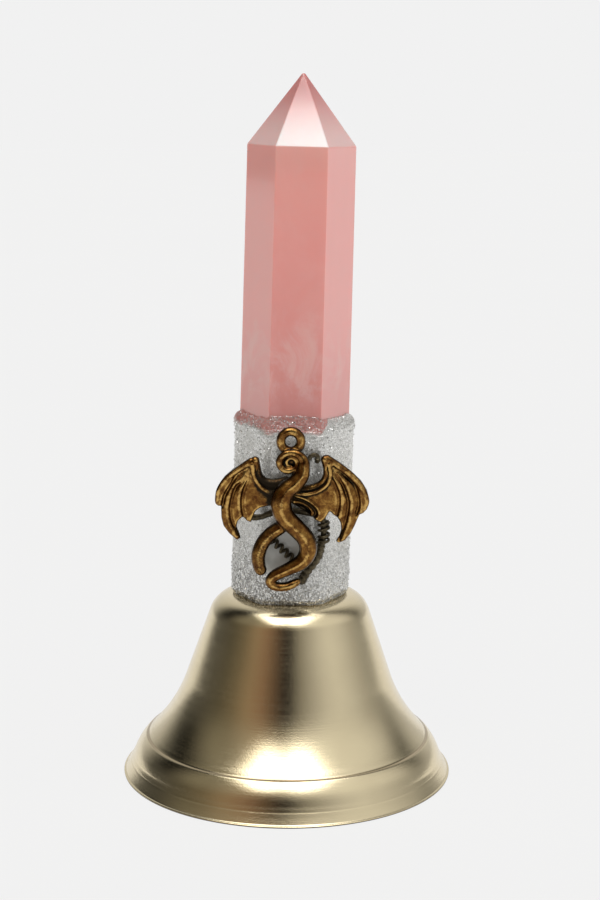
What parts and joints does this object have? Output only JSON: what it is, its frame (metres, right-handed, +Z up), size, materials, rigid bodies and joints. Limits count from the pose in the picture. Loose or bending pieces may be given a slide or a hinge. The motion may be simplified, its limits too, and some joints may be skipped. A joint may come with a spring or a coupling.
{
  "type": "hand bell",
  "caption": "Small spun metal hand bell with a six-sided rose quartz point as its handle, a glitter resin collar, a winged dragon charm and a free-hanging clapper.",
  "frame": {"origin": "centre of the bell's rim, on the plane it stands on", "axes": "+Z up the bell's axis to the crystal's tip, -Y to the front that carries the charm, +X to the viewer's right"},
  "size_m": [0.0598, 0.0598, 0.127],
  "materials": {
    "bell_metal": "satin champagne plating over spun brass",
    "plated_steel": "bright zinc plated wire and hardware",
    "clapper_metal": "turned brass, lightly tarnished",
    "rose_quartz": "polished translucent rose quartz with milky veils",
    "epoxy_putty": "cured two-part putty",
    "glitter_resin": "silver glitter set in clear resin",
    "glaze_resin": "clear resin with scattered glitter",
    "clear_resin": "clear glue, glossy",
    "antique_brass": "antique brass plating with dark recesses",
    "dark_wire": "tarnished brass wire"
  },
  "bodies": {
    "bell": {"bell_shell": "bell_metal", "crown_eye_bolt": "plated_steel", "inner_washer": "plated_steel", "outer_washer": "plated_steel", "crown_nut": "plated_steel", "crystal_point": "rose_quartz", "crown_glue_bed": "clear_resin", "epoxy_core": "epoxy_putty", "glitter_collar": "glitter_resin", "glaze_rim": "glaze_resin", "dragon_charm": "antique_brass", "charm_glue_dots": "clear_resin", "wire_loop": "dark_wire", "wire_wrap": "dark_wire", "wire_coil": "dark_wire", "wire_curl": "dark_wire"},
    "ring": {"jump_ring": "plated_steel"},
    "clapper": {"clapper_wire": "plated_steel", "clapper_ball": "clapper_metal"}
  },
  "joints": [
    {"name": "ring_swing", "type": "hinge", "parent": "bell", "child": "ring", "pos_m": [0, 0, 0.0256], "axis": [0, 1, 0], "range_deg": [-45, 45]},
    {"name": "clapper_swing", "type": "hinge", "parent": "ring", "child": "clapper", "pos_m": [0, 0, 0.02226], "axis": [1, 0, 0], "range_deg": [-22, 22]}
  ]
}
